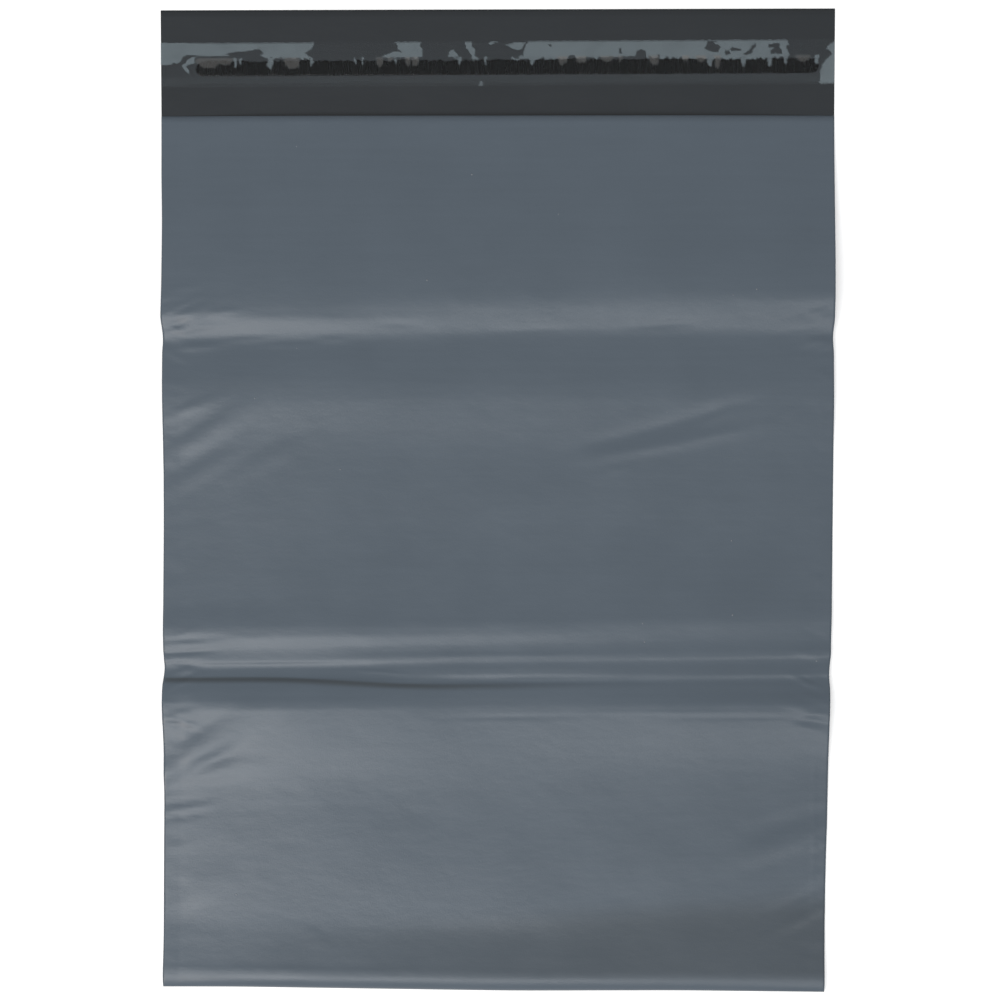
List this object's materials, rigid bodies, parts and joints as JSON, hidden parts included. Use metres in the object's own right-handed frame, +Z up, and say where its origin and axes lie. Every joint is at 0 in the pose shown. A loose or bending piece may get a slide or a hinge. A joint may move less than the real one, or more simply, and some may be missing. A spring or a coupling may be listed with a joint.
{
  "type": "poly mailer bag",
  "caption": "Flat polythene mailing bag with side welds, a bottom fold and a long lip that carries an adhesive strip under a clear release liner.",
  "frame": {"origin": "under the middle of the bag, on the surface it lies on", "axes": "+X across the bag to the right as seen from above, +Y from the bottom fold to the lip, +Z up"},
  "size_m": [0.325, 0.476, 0.0089],
  "materials": {
    "film": "satin polythene film, grey outside and black inside",
    "adhesive": "glossy black hot-melt adhesive",
    "liner": "clear glossy film"
  },
  "bodies": {
    "root": {"bag_film": "film", "adhesive_strip": "adhesive", "release_liner": "liner"}
  },
  "joints": []
}
